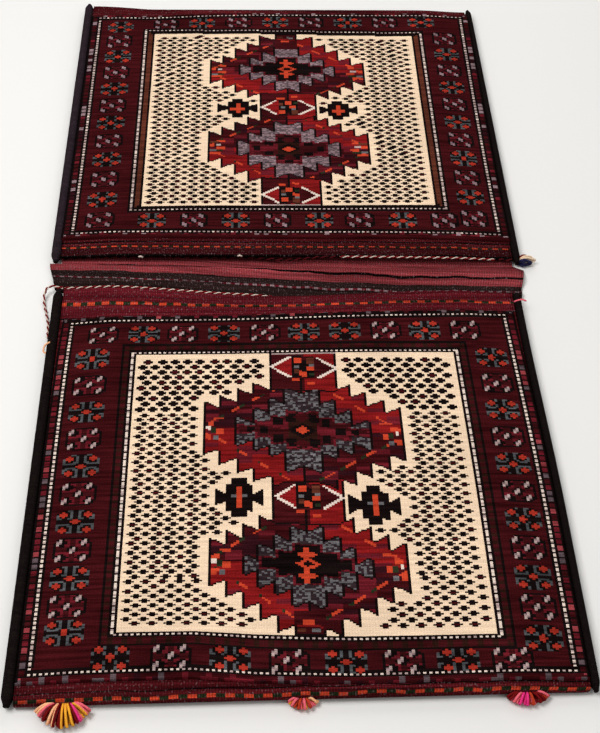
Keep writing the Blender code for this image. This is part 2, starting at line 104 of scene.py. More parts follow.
WIDENS_OVER = 0.30
NEAR_SHIFTS = (0.0, 0.0050, 0.0020)
FAR_SHIFTS = (0.0043, -0.0038, -0.0031)
PILE_START = 0.0635  # of the pile, from the middle of the bridge
PILE_END = 0.5425
FRONT = CLOTH + POCKET_GAP + CLOTH  # outer side of a face, in its middle
KNOTS = 191
ROWS = 251
KNOT = 2 * HALF_WIDTH / KNOTS
BINDINGS = {"left": 0.0125, "right": 0.0095}
CLEARANCE = 0.0003
CORD = 0.0034
CORD_SEAM = 0.0006
CORD_STANDS = 0.001
CORD_SINKS = 0.0047
CORD_TUCKS = 0.0048
CORD_TURN = 0.10


def smooth_step(value):
    value = min(max(value, 0.0), 1.0)
    return value * value * (3 - 2 * value)


def pocket_opening(x):
    return SIDE_GAP + (POCKET_GAP - SIDE_GAP) * smooth_step((HALF_WIDTH - abs(x)) / SIDE_SLOPE)


def swell(x, y):
    calm = smooth_step((HALF_WIDTH - abs(x)) / SIDE_SLOPE)
    calm *= smooth_step((HALF_LENGTH - abs(y)) / SIDE_SLOPE)
    return SWELL * calm * math.sin(17 * x + 5 * y) * math.cos(13 * y - 4 * x + 0.6)


def slant(x, y):
    """How far along a point is moved, because the bag lies a little askew."""
    share = smooth_step((y + SLANT_START) / (SLANT_START - SLANT_FULL))
    most = MOUTH_SLANT + (FAR_SLANT - MOUTH_SLANT) * smooth_step(y / MOUTH)
    to_fold = max(y / HALF_LENGTH, 0.0)
    ear = smooth_step(1 + (to_fold - 1) / EAR_LENGTH) * smooth_step(1 - (1 + x / HALF_WIDTH) / EAR_WIDTH)
    return -most * share * x / HALF_WIDTH - FAR_DRAW * to_fold + FAR_EAR * ear


def bridge_ridge(y):
    from_ridge = abs(abs(y) - RIDGE_PLACE) / (RIDGE_PLACE * 0.8)
    return RIDGE_HEIGHT * 0.5 * (1 + math.cos(math.pi * min(from_ridge, 1.0)))


def front_shift(x, y):
    """How much further from the bridge a point of a face lies than on an even bag."""
    mouth, pile_start, pile_end = NEAR_SHIFTS if y < 0 else FAR_SHIFTS
    if y < 0:
        mouth += MOUTH_SAG * 0.5 * (1 + math.cos(math.pi * min(abs(x) / SAG_REACH, 1.0)))
    places = (MOUTH, PILE_START, PILE_END, HALF_LENGTH)
    shift = np.interp(abs(y), places, (mouth, pile_start, pile_end, 0.0))
    return shift if y > 0 else -shift


def spread_out(x, y):
    """How far a point moves outwards, because the bag isn't equally wide all along."""
    to_fold = min(abs(y) / HALF_LENGTH, 1.0)
    at_mouth, at_fold = FAR_SPREAD
    near = -NEAR_DRAW * (1 - to_fold)
    far = at_mouth + (at_fold - at_mouth) * to_fold
    return x * (near + (far - near) * smooth_step(y / MOUTH / 2 + 0.5))


def widening(x, y):
    """How far a point of the near face moves out to the right."""
    return NEAR_WIDENS * smooth_step(x / HALF_WIDTH) * smooth_step((-y - WIDENS_FROM) / WIDENS_OVER)


def laid(x, y, z):
    """A point of the flat, even bag moved to where the cloth lies."""
    raised = min(max((z - CLOTH) / POCKET_GAP, 0.0), 1.0)
    if abs(y) > MOUTH - FLARE_RUN / 2:
        z += raised * (pocket_opening(x) - POCKET_GAP + swell(x, y))
        x, y = x + raised * widening(x, y), y + raised * front_shift(x, y)
    else:
        flare = BRIDGE_FLARE * smooth_step((MOUTH - abs(y)) / FLARE_RUN)
        skew = BRIDGE_SKEW * (1 - (y / MOUTH) ** 2)
        x, y = x * (1 + flare / HALF_WIDTH), y - skew * x / HALF_WIDTH
    return Vector((x + spread_out(x, y), y + slant(x, y), z))


# %% [markdown]
# ## Dyes and materials
#
# Every piece of wool carries its dye as a colour attribute, and its place in the weave as another one. The
# materials add what a yarn does to a flat colour: fibres, streaks between dye lots, and relief.

# %% Dyes
DYES = {
    "maroon": (0.064, 0.006, 0.0078),  # of the flat weave
    "claret": (0.032, 0.0032, 0.0042),  # of the pile
    "wine": (0.032, 0.0038, 0.0048),
    "aubergine": (0.02, 0.0036, 0.0055),
    "crimson": (0.088, 0.007, 0.011),
    "rose": (0.215, 0.033, 0.038),
    "red": (0.155, 0.0065, 0.007),
    "orange": (0.43, 0.042, 0.017),
    "ember": (0.27, 0.021, 0.012),
    "rust": (0.07, 0.018, 0.01),
    "cream": (0.75, 0.56, 0.39),
    "white": (0.66, 0.54, 0.46),
    "shell": (0.34, 0.25, 0.23),
    "lilac": (0.19, 0.125, 0.135),
    "slate": (0.09, 0.084, 0.087),
    "steel": (0.05, 0.052, 0.055),
    "ash": (0.02, 0.012, 0.014),
    "ashes": (0.075, 0.052, 0.058),
    "green": (0.013, 0.018, 0.008),
    "umber": (0.017, 0.0052, 0.0036),
    "ink": (0.005, 0.0026, 0.0026),
    "charcoal": (0.018, 0.0095, 0.0085),
    "goat": (0.0068, 0.0046, 0.0042),
    "dusk": (0.02, 0.013, 0.017),
    "pink": (0.78, 0.13, 0.17),
    "magenta": (0.74, 0.035, 0.2),
    "yellow": (0.8, 0.36, 0.03),
    "peach": (0.85, 0.42, 0.22),
    "navy": (0.02, 0.02, 0.06),
}
DYE_NAMES = list(DYES)
WEFT = 0.0011  # from one weft of the flat weave to the next


def add_node(tree, kind, inputs, **settings):
    """Adds a shader node. Its inputs are given as numbers or as the sockets they are linked to."""
    node = tree.nodes.new("ShaderNode" + kind)
    for name, value in settings.items():
        setattr(node, name, value)
    for key, value in inputs.items():
        if isinstance(value, bpy.types.NodeSocket):
            tree.links.new(value, node.inputs[key])
        else:
            node.inputs[key].default_value = value
    return node


def new_material(name, roughness):
    """A rough material, its tree, its shader, and the dye it is painted with."""
    material = bpy.data.materials.new(name)
    material.use_nodes = True
    tree = material.node_tree
    shader = tree.nodes["Principled BSDF"]
    shader.inputs["Roughness"].default_value = roughness
    shader.inputs["Specular IOR Level"].default_value = 0.01
    dye = add_node(tree, "Attribute", {}, attribute_name="dye")
    return material, tree, shader, dye


def noise(tree, place, stretch, detail):
    """Noise on a vector, stretched by a scale for each axis."""
    scaled = add_node(tree, "VectorMath", {0: place, 1: stretch}, operation="MULTIPLY")
    inputs = {"Vector": scaled.outputs[0], "Scale": 1.0, "Detail": detail}
    return add_node(tree, "TexNoise", inputs).outputs["Fac"]


def math_node(tree, operation, *values):
    return add_node(tree, "Math", dict(enumerate(values)), operation=operation).outputs[0]


def product(tree, first, *others):
    for value in others:
        first = math_node(tree, "MULTIPLY", first, value)
    return first


def wave(tree, value, rate):
    return math_node(tree, "SINE", product(tree, value, rate))


def spread(tree, value, low, high, from_low=0.3, from_high=0.7):
    """A noise value stretched to run from low to high."""
    ends = {"From Min": from_low, "From Max": from_high, "To Min": low, "To Max": high}
    return add_node(tree, "MapRange", {"Value": value, **ends}).outputs["Result"]


def shade(tree, colour, value):
    """A colour made lighter or darker by a value around one."""
    return add_node(tree, "VectorMath", {0: colour, "Scale": value}, operation="SCALE").outputs[0]


def blend(tree, share, first, second):
    """One colour laid over another. Each is a socket or a dye."""
    node = add_node(tree, "Mix", {"Factor": share}, data_type="RGBA")
    sockets = [item for item in node.inputs if item.type == "RGBA"]
    for socket, value in zip(sockets, (first, second)):
        if isinstance(value, str):
            socket.default_value = (*DYES[value], 1)
        else:
            tree.links.new(value, socket)
    return next(item for item in node.outputs if item.type == "RGBA")


def bump(tree, shader, height, distance, strength):
    node = add_node(tree, "Bump", {"Height": height, "Distance": distance, "Strength": strength})
    tree.links.new(node.outputs["Normal"], shader.inputs["Normal"])


def weave_place(tree):
    """The place in the weave, as one vector and as its two parts."""
    place = add_node(tree, "Attribute", {}, attribute_name="weave").outputs["Vector"]
    parts = add_node(tree, "SeparateXYZ", {0: place})
    return place, parts.outputs["X"], parts.outputs["Y"]


def pile_material():
    """Knots: each a small mound, in rows, with fibres and streaks of lighter and darker dye."""
    material, tree, shader, dye = new_material("pile_wool", 0.92)
    place, across, along = weave_place(tree)
    streaks = spread(tree, noise(tree, place, (0.05, 0.55, 1), 2), 0.60, 1.75)
    fibres = spread(tree, noise(tree, place, (1.7, 2.3, 1), 4), 0.62, 1.40)
    patches = spread(tree, noise(tree, place, (0.035, 0.030, 1), 2), 0.78, 1.25)
    tone = product(tree, fibres, patches, streaks)
    parts = add_node(tree, "SeparateColor", {0: dye.outputs["Color"]})
    uneven = spread(tree, parts.outputs["Red"], 1.0, 0.22, 0.05, 0.60)  # pale wool shows it less
    tone = math_node(tree, "MULTIPLY_ADD", math_node(tree, "SUBTRACT", tone, 1.0), uneven, 1.0)
    tree.links.new(shade(tree, dye.outputs["Color"], tone), shader.inputs["Base Color"])
    mounds = [math_node(tree, "ABSOLUTE", wave(tree, part, math.pi)) for part in (across, along)]
    height = math_node(tree, "MULTIPLY_ADD", fibres, 0.8, product(tree, *mounds))
    bump(tree, shader, height, 0.0006, 0.7)
    return material


def flat_weave_material(stripes, dashes):
    """Flat weave with weft stripes along the strip, and rows of dashes of two dyes."""
    material, tree, shader, dye = new_material("flat_weave", 0.95)
    tree.nodes.remove(dye)
    place, across, along = weave_place(tree)
    waver = spread(tree, noise(tree, place, (28, 3, 1), 2), -0.0011, 0.0011)
    along = math_node(tree, "ADD", along, waver)
    colour = stripes[0][1]
    for start, name in stripes[1:]:
        colour = blend(tree, math_node(tree, "GREATER_THAN", along, start), colour, name)
    for start, end, pitch, share, first, second in dashes:
        started = math_node(tree, "GREATER_THAN", along, start)
        band = product(tree, started, math_node(tree, "LESS_THAN", along, end))
        colour = blend(tree, band, colour, second)
        turn = math_node(tree, "FRACT", math_node(tree, "DIVIDE", across, pitch))
        dash = product(tree, band, math_node(tree, "LESS_THAN", turn, share))
        colour = blend(tree, dash, colour, first)
    flecks = noise(tree, place, (520, 330, 1), 1)
    pale = math_node(tree, "GREATER_THAN", flecks, 0.64)
    colour = blend(tree, product(tree, pale, 0.35), colour, "lilac")
    streaks = spread(tree, noise(tree, place, (8, 420, 1), 2), 0.45, 1.60)
    fibres = spread(tree, noise(tree, place, (900, 900, 1), 3), 0.70, 1.30)
    warps = wave(tree, across, 2 * math.pi / KNOT)
    ribs = spread(tree, warps, 0.80, 1.18, -1.0, 1.0)
    patches = spread(tree, noise(tree, place, (5, 150, 1), 2), 0.60, 1.42)
    tone = product(tree, streaks, fibres, ribs, patches)
    tree.links.new(shade(tree, colour, tone), shader.inputs["Base Color"])
    wefts = wave(tree, along, 2 * math.pi / WEFT)
    height = math_node(tree, "MULTIPLY_ADD", wefts, 0.35, math_node(tree, "ADD", warps, fibres))
    bump(tree, shader, height, 0.0005, 0.8)
    return material


def yarn_material(name, roughness, grain):
    """Spun yarn in the dye that its points carry."""
    material, tree, shader, dye = new_material(name, roughness)
    place = add_node(tree, "TexCoord", {}).outputs["Object"]
    fibres = spread(tree, noise(tree, place, grain, 3), 0.62, 1.38)
    tree.links.new(shade(tree, dye.outputs["Color"], fibres), shader.inputs["Base Color"])
    bump(tree, shader, fibres, 0.0004, 0.6)
    return material


# %% [markdown]
# ## How pieces are made
#
# A woven piece is a grid whose points keep their place in the weave. A yarn is a tube swept along a path.

# %% Makers
UP = Vector((0.05, 0.08, 1.0)).normalized()


def show(name, mesh, material):
    """Turns a mesh into a piece that rides on the bag."""
    data = bpy.data.meshes.new(name)
    mesh.to_mesh(data)
    mesh.free()
    data.shade_smooth()
    data.materials.append(material)
    piece = bpy.data.objects.new(name, data)
    bpy.context.scene.collection.objects.link(piece)
    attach(piece, "root")
    print(f"{name}: {len(data.polygons)} faces")
    return piece


def woven_grid(across, along, place):
    """A grid laid by place(u, v), where u and v run from 0 to 1. place gives a point and its weave place."""
    mesh = bmesh.new()
    bmesh.ops.create_grid(mesh, x_segments=across, y_segments=along, size=0.5)
    weave = mesh.verts.layers.float_vector.new("weave")
    for point in mesh.verts:
        point.co, point[weave] = place(point.co.x + 0.5, point.co.y + 0.5)
    return mesh


def frames(path):
    """Each point of a path with two directions square to it."""
    last = len(path) - 1
    for index, point in enumerate(path):
        ahead = (path[min(index + 1, last)] - path[max(index - 1, 0)]).normalized()
        side = ahead.cross(UP).normalized()
        yield point, side, side.cross(ahead)


def skin(mesh, rings):
    """Joins rings of points into a closed tube."""
    for ring, following in zip(rings, rings[1:]):
        for index in range(len(ring)):
            after = (index + 1) % len(ring)
            mesh.faces.new((ring[index], ring[after], following[after], following[index]))
    mesh.faces.new(reversed(rings[0]))
    mesh.faces.new(rings[-1])


def sweep(mesh, path, radius, sides, dye):
    """Adds a closed tube along a path to a mesh."""
    colour = mesh.verts.layers.float_color.get("dye") or mesh.verts.layers.float_color.new("dye")
    rings = []
    for point, side, over in frames(path):
        ring = []
        for index in range(sides):
            angle = 2 * math.pi * index / sides
            vertex = mesh.verts.new(point + radius * (math.cos(angle) * side + math.sin(angle) * over))
            vertex[colour] = (*DYES[dye], 1)
            ring.append(vertex)
        rings.append(ring)
    skin(mesh, rings)


def resampled(path, step):
    """The same path with a point at every step along it."""
    points = [path[0].copy()]
    left_over = step
    for start, end in zip(path, path[1:]):
        run = (end - start).length
        while left_over <= run:
            points.append(start.lerp(end, left_over / run))
            left_over += step
        left_over -= run
    return points


def smooth_path(points, steps):
    """A smooth curve through a few points."""
    points = [Vector(point) for point in points]
    path = []
    for i in range(len(points) - 1):
        before, start = points[max(i - 1, 0)], points[i]
        end, after = points[i + 1], points[min(i + 2, len(points) - 1)]
        for step in range(steps):
            t = step / steps
            bend = (2 * before - 5 * start + 4 * end - after) * t * t
            twist = (3 * (start - end) + after - before) * t * t * t
            path.append(0.5 * (2 * start + (end - before) * t + bend + twist))
    return path + [points[-1]]


def two_ply(mesh, path, diameter, pitch, dyes):
    """Adds a cord of two twisted yarns, the second a little thinner."""
    step = pitch / 10
    centre = resampled(path, step)
    for ply, dye in enumerate(dyes):
        points = []
        for index, (point, side, over) in enumerate(frames(centre)):
            angle = 2 * math.pi * index * step / pitch + math.pi * ply
            points.append(point + diameter * 0.22 * (math.cos(angle) * side + math.sin(angle) * over))
        sweep(mesh, points, diameter * (0.28, 0.20)[ply], 7, dye)


spun = yarn_material("spun_yarn", 0.85, (1500, 1500, 1500))
goat = yarn_material("goat_hair", 0.8, (900, 260, 900))

# %% [markdown]
# ## The loose end of the near mouth cord
#
# It loops past the pocket's left corner, drops to the ground and lies along the bag's side.

# %% Loose cord
TAIL_ROUTE = [
    (-0.2672, -0.0134, 0.0111),
    (-0.2745, -0.012, 0.0114),
    (-0.2815, -0.0098, 0.011),
    (-0.2872, -0.0125, 0.0088),
    (-0.2898, -0.0205, 0.0054),
    (-0.289, -0.031, 0.0028),
    (-0.2862, -0.043, 0.002),
    (-0.2832, -0.056, 0.002),
    (-0.2812, -0.07, 0.002),
    (-0.2806, -0.086, 0.002),
]
TAIL_DIAMETER = 0.0036

tail_path = smooth_path(TAIL_ROUTE, 6)
mesh = bmesh.new()
two_ply(mesh, tail_path, TAIL_DIAMETER, 0.0100, ("red", "white"))
loose_cord = show("loose_cord", mesh, spun)
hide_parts("cord_tail")

# %% [markdown]
# ## The strip of flat weave
#
# One grid follows the strip from the near mouth round both folds to the far mouth. Its bands and rows of
# dashes are places along the strip.

# %% Flat weave
FOLD_RADIUS = FRONT / 2 - CLOTH / 2
FOLD_CENTRE = HALF_LENGTH - FRONT / 2
FACE_RUN = FOLD_CENTRE - MOUTH
FOLD_RUN = math.pi * FOLD_RADIUS
STRIP_LENGTH = 4 * FACE_RUN + 2 * FOLD_RUN + 2 * MOUTH
BRIDGE_START = 2 * FACE_RUN + FOLD_RUN
WEFT_COURSE = (-0.26, -0.14, -0.01, 0.07, 0.135, 0.22)  # places across the bridge
WEFT_RISE = (0.0052, 0.0066, 0.0012, 0.0001, -0.0004, 0.0028)  # of one weft there
WEFT_CROWDING = (1.8, 1.7, 1.07, 1.0, 0.95, 0.75)  # of the wefts beyond it


def strip_section(run):
    """Place of the cloth's middle layer at a distance along the strip from the near mouth."""
    if run > STRIP_LENGTH / 2:
        y, z = strip_section(STRIP_LENGTH - run)
        return -y, z
    if run < FACE_RUN:
        return -MOUTH - run, FRONT - CLOTH / 2
    run -= FACE_RUN
    if run < FOLD_RUN:
        angle = run / FOLD_RADIUS
        y = -FOLD_CENTRE - FOLD_RADIUS * math.sin(angle)
        return y, FRONT / 2 + FOLD_RADIUS * math.cos(angle)
    y = -FOLD_CENTRE + run - FOLD_RUN
    return y, CLOTH / 2 + (bridge_ridge(y) if y > -MOUTH else 0.0)


def weft_drift(x, y):
    """How far the wefts of the bridge lie from where even weaving would put them."""
    across = y - np.interp(x, WEFT_COURSE, WEFT_RISE)
    if across > 0:
        across /= np.interp(x, WEFT_COURSE, WEFT_CROWDING)
    return (across - y) * smooth_step((0.060 - abs(y)) / 0.030)


def place_cloth(u, v):
    x = HALF_WIDTH * (2 * u - 1)
    run = STRIP_LENGTH * v
    y, z = strip_section(run)
    on_back = z < FRONT / 2 and abs(y) < 0.15
    return laid(x, y, z), (x, run + (weft_drift(x, y) if on_back else 0.0), 0)


def on_bridge(y):
    return BRIDGE_START + MOUTH + y


def on_far_face(y):
    return STRIP_LENGTH - (y - MOUTH)


STRIPES = [
    (0, "crimson"),
    (0.0345, "ink"),
    (0.0365, "maroon"),
    (0.519, "ink"),
    (0.5205, "maroon"),
    (0.60, "charcoal"),
    (0.618, "maroon"),
    (0.79, "charcoal"),
    (0.81, "maroon"),
    (on_bridge(-0.0430), "charcoal"),
    (on_bridge(0.0000), "rose"),
    (on_bridge(0.0090), "ink"),
    (on_bridge(0.0115), "rose"),
    (on_bridge(0.0420), "maroon"),
    (1.34, "charcoal"),
    (1.36, "maroon"),
    (1.53, "charcoal"),
    (1.55, "maroon"),
    (on_far_face(0.058), "ink"),
    (on_far_face(0.055), "maroon"),
    (on_far_face(0.050), "wine"),
    # The last ink stripe, along the far mouth's edge, is painted shade under its rolled rim.
    (on_far_face(0.0285), "ink"),
]
# Start, end, pitch, share of the first dye, first dye, second dye
DASHES = [
    (0.0168, 0.0208, 0.0170, 0.52, "orange", "green"),
    (0.5252, 0.5285, 0.0176, 0.5, "orange", "green"),
    (on_bridge(-0.0168), on_bridge(-0.0148), 0.0100, 0.5, "lilac", "crimson"),
    (on_far_face(0.0470), on_far_face(0.0442), 0.0123, 0.55, "orange", "green"),
]

mesh = woven_grid(68, 700, place_cloth)
cloth = show("cloth", mesh, flat_weave_material(STRIPES, DASHES))
solid = cloth.modifiers.new("thickness", "SOLIDIFY")
solid.thickness = CLOTH
solid.offset = 0

# %% [markdown]
# ## The knot plan
#
# The pattern is drawn knot by knot, as a weaver would: from its shapes, on a plan of 191 knots by 251 rows
# counted from the mouth. Borders first, then the cream ground with its small figures, then two medallions
# with saw-toothed sides, joined at a waist.

# %% Knot plan
ROW_HEIGHT = 0.68  # height of a row, in widths of a knot
TURNING = 100  # the column about which slanting rows turn
HALFWAY = 125  # the row between the mouth's end and the fold's
COUNTED = 256  # more than there are knots or rows


class KnotPlan:
    """A dye for every knot of one face."""

    def __init__(self, drift):
        across, along = np.arange(KNOTS) + 0.5, np.arange(ROWS) + 0.5
        self.column, self.level = np.meshgrid(across, along)
        self.row = self.level
        self.drifted = self.level - drift * (self.column - TURNING)
        self.dye = np.full(self.column.shape, DYE_NAMES.index("claret"))

    def paint(self, where, dye, some=None, other=None):
        """Dyes the knots of a shape, and some of them with another dye."""
        self.dye[where] = DYE_NAMES.index(dye)
        if other:
            self.dye[where & some] = DYE_NAMES.index(other)

    def shows(self, dye):
        return self.dye == DYE_NAMES.index(dye)

    def box(self, left, right, start, end):
        across = (self.column >= left) & (self.column < right)
        return across & (self.row >= start) & (self.row < end)

    def block(self, left, right, start, end, dye):
        self.paint(self.box(left, right, start, end), dye)

    def blocks(self, column, row, places, mirrored=False):
        """Paints small blocks at places counted from one knot."""
        for left, right, start, end, dye in places:
            if mirrored:
                left, right = -right, -left
            self.block(column + left, column + right, row + start, row + end, dye)

    def away(self, column, row):
        """How far each knot is from a place, across and along."""
        return np.abs(self.column - column), np.abs(self.row - row)

    def lozenge(self, column, row, half_across, half_along):
        away, along = self.away(column, row)
        return away / half_across + along / half_along < 1

    def stroke(self, start, end, width, dye):
        """Paints the knots within half a width of a straight line."""
        x0, y0, x1, y1 = start[0], start[1] * ROW_HEIGHT, end[0], end[1] * ROW_HEIGHT
        run = math.hypot(x1 - x0, y1 - y0)
        from_x, from_y = self.column - x0, self.row * ROW_HEIGHT - y0
        along = np.clip((from_x * (x1 - x0) + from_y * (y1 - y0)) / run, 0, run)
        off_x = from_x - along * (x1 - x0) / run
        off_y = from_y - along * (y1 - y0) / run
        self.paint(np.hypot(off_x, off_y) < width / 2, dye)

    def saw(self, column, row, half_across, tooth, upper, lower, falls):
        """A shape with a row of teeth above and one below. falls is how far each tooth slopes back."""
        inwards = (half_across - np.abs(self.column - column)) / tooth
        shape = np.zeros(inwards.shape, bool)
        for heights, fall, sign in zip((upper, lower), falls, (-1, 1)):
            index = np.clip(inwards.astype(int), 0, len(heights) - 1)
            height = np.array(heights)[index] - fall * np.clip(inwards - index, 0, 1)
            along = (self.row - row) * sign
            shape |= (inwards > 0) & (along >= 0) & (along < height)
        return shape


def outline(shape):
    """The knots of a shape that touch what is outside it."""
    padded = np.pad(shape, 1, constant_values=True)
    rows, columns = shape.shape
    around = [padded[a : a + rows, b : b + columns] for a, b in ((0, 1), (2, 1), (1, 0), (1, 2))]
    return shape & ~np.logical_and.reduce(around)


def rosette(plan, column, row, half_across, half_along, kind, pale):
    """One octagon of the main border, with five lozenges or five pairs of slanted strokes."""
    away, along = plan.away(column, row)
    octagon = (away < half_across) & (along < half_along)
    octagon &= away / half_across + along / half_along < 1.6
    places = [(i * half_across * 0.58, j * half_along * 0.62) for i in (-1, 1) for j in (-1, 1)]
    plan.paint(octagon, "ink" if kind == "A" else "wine")
    if kind == "A":
        for i, j in places:
            from_x, from_y = plan.away(column + i, row + j)
            ring = np.hypot(from_x, from_y * 0.72)
            inner = ((away < abs(i)) | (along < abs(j))) & (ring > 2.1)
            plan.paint(octagon & inner & (away > 1.0) & (along > 1.2) & (ring < 3.3), "steel")
            plan.paint(plan.lozenge(math.floor(column + i) + 0.5, round(row + j), 1.7, 2.3), "ember")
        plan.paint(plan.lozenge(column, row, 3.2, 3.9), "ink")
        plan.paint(plan.lozenge(column, row, 1.8, 2.2), "ember")
        return
    plan.paint(octagon & (away > 1.2) & (along > 1.5), "crimson")
    plan.paint(outline(octagon), "ink")
    for i, j in [(0, 0), *places]:
        plan.paint(plan.lozenge(column + i, row + j, 2.7, 3.2) & octagon, "ink")
        x, y = math.floor(column + i), round(row + j)
        plan.block(x - 1, x + 1, y - 1, y + 1, "lilac")
        plan.block(x - 1, x, y, y + 2, pale)
        plan.block(x, x + 1, y - 2, y, pale)


def bands(plan, spec):
    """The bands round the main border and round the field."""
    left, right, mouth, fold = spec["lines"]
    pick = np.random.default_rng(spec["seed"])
    columns, rows = plan.column.astype(int), plan.level.astype(int)
    from_side = np.minimum(plan.column, KNOTS - plan.column)
    from_end = np.minimum(plan.level, ROWS - plan.level)
    sideways = from_side < from_end * ROW_HEIGHT
    at_fold = ~sideways & (plan.level > HALFWAY)
    count = np.where(sideways, rows, columns)
    edge = np.where(sideways, from_side, from_end * ROW_HEIGHT)
    plan.paint(edge < np.where(sideways, 6, 4.7), "ink")
    dyes = [DYE_NAMES.index(name) for name in spec["edge"]]
    for start in range(0, COUNTED, 4):
        block = (count // 4 == start // 4) & (count % 4 < 3)
        plan.dye[block & (edge < 2.8) & (edge > 0.6) & sideways] = pick.choice(dyes)
    first = spec["edge_from"]
    plan.paint((at_fold | ~sideways & (first > 0)) & (from_end < 3), "claret")
    for start in range(0, COUNTED, 2):
        block = (count // 2 == start // 2) & ~sideways
        last = first + (1 if start % 8 else 3)
        plan.dye[block & (from_end > first) & (from_end < last)] = pick.choice(dyes)
    plan.paint(at_fold & plan.shows("rose"), "aubergine")
    dim = pick.random(COUNTED)[count] < spec["dim"]
    dots = sideways & (from_side > 4) & (from_side < 5) & (count % 3 < 2)
    dots |= ~sideways & (from_end > 4) & (from_end < 5.2) & (count % 2 == 0)
    plan.paint(dots & (from_side > 4), "white", dim, "shell")

    lean = spec["fold_lean"] * (plan.column - TURNING)
    to_sides = np.minimum(plan.column - left, right + 1 - plan.column)
    to_ends = np.minimum(plan.level - mouth, fold + 1 - plan.level + lean)
    along = to_sides < to_ends * ROW_HEIGHT
    count = np.where(along, rows, columns)
    inwards = np.minimum(to_sides, to_ends * ROW_HEIGHT)
    plan.paint(inwards > (-4.2 if spec["strip"] < 0 else -1.3), "ink")
    start = spec["strip"]
    strip = (inwards > start) & (inwards < start + 2.1) & (along | (start < 0))
    plan.paint(strip, spec["strip_dyes"][0], count % 5 < 2, spec["strip_dyes"][1])
    dim = pick.random(COUNTED)[count] < spec["dim"]
    dots = along & (to_sides > 0) & (to_sides < 1) & (count % 5 % 3 < 2)
    dots |= ~along & (to_ends > 0) & (to_ends <= 1) & (to_sides > 0) & (count % 2 == 0)
    plan.paint(dots, "white", dim, "shell")
    side, top, bottom = spec["margins"]
    field = (to_sides > side) & (to_ends > 0) & (plan.level > mouth + top)
    field &= fold + 1 - plan.level + lean > bottom
    plan.paint(field, "cream")
    return field


MOUTH_PART = 0.24  # share of the field where the figures can be taller
FOLD_PART = 0.82  # and from where they can stand further apart
CLARET_MIDDLES = 0.24  # share of the figures


def small_figures(plan, spec):
    """Small dark crosses, set in quincunx, clear of everything else."""
    left, right, mouth, fold = spec["lines"]
    cream = plan.shows("cream")
    rows, columns = cream.shape
    padded = np.pad(~cream, 3, constant_values=True)
    near = np.zeros_like(cream)
    for a in range(7):
        for b in range(7):
            if abs(a - 3) / 3.4 + abs(b - 3) / 2.7 < 1:
                near |= padded[a : a + rows, b : b + columns]
    pick = random.Random(3)
    first, last, wide, fold_widens = spec["pitch"]
    level, line = math.floor(mouth + spec["margins"][1] + 2.8), 0
    while level < fold - 2:
        share = (level - mouth) / (fold - mouth)
        step = wide * (fold_widens if share > FOLD_PART else 1.0)
        column = left + spec["margins"][0] + 2.6 + (step / 2 if line % 2 else 0.0)
        pitch = first if share < MOUTH_PART else last
        tall = pitch > 3
        while column < right:
            x = round(column)
            y = level + (0.0 if tall else 0.5) + round(spec["fold_lean"] * (column - TURNING) * share)
            at = min(int(y), ROWS - 1)
            if x < right - 1 and not near[at, int(x)] and not near[at, int(x - 0.5)]:
                figure = plan.lozenge(x, y, 2.5, 2.6) if tall else plan.lozenge(x, y, 2.2, 2.1)
                plan.paint(figure & cream, "ink")
                if pick.random() < CLARET_MIDDLES:
                    plan.paint(plan.lozenge(x, y, 1.3, 1.4) & figure, "claret")
            column += step
        level += pitch
        line += 1


# Blocks of one dye: left and right side, first and last row, counted from a shape's middle
GEMS = [
    (-4, -1.2, -7, -3, "orange"),
    (-0.8, 0.8, -9, -6, "claret"),
    (1.2, 4.2, -8, -3, "rust"),
    (2, 4, -3, -1, "slate"),
    (-3.8, -1.8, -1, 1, "slate"),
    (1, 4, -1, 2, "orange"),
    (-4, -2, 2, 5, "rust"),
    (-1.5, 1.5, 3, 7, "orange"),
    (2.2, 4.2, 4, 6, "green"),
    (-5, -1.5, 9, 11, "orange"),
    (1.5, 4.5, 11, 13, "orange"),
]
FOOT = [
    (-2.5, 2, -8.5, -6, "orange"),
    (-4.5, 4.5, -5.5, -4.5, "red"),
    (-4, -1.5, -3.5, -1.5, "rust"),
    (1, 4, -3.5, -1.5, "slate"),
]


def waist(plan, column, row, half):
    """White chevrons at both sides of a column of small blocks."""
    for sign in (-1, 1):
        tip = (column + sign * half, row)
        away, along = plan.away(column, row)
        inside = (plan.column > column) == (sign > 0)
        inside &= along < (half - away) * 1.1
        plan.paint(inside & (along < 8), "red" if sign < 0 else "claret")
        for end in (-1, 1):
            plan.stroke(tip, (column + sign * half * 0.44, row + end * 7.6), 1.05, "white")
    plan.block(column - 4.5, column + 4.5, row - 9, row + 8, "ink")
    plan.blocks(column, row, GEMS)


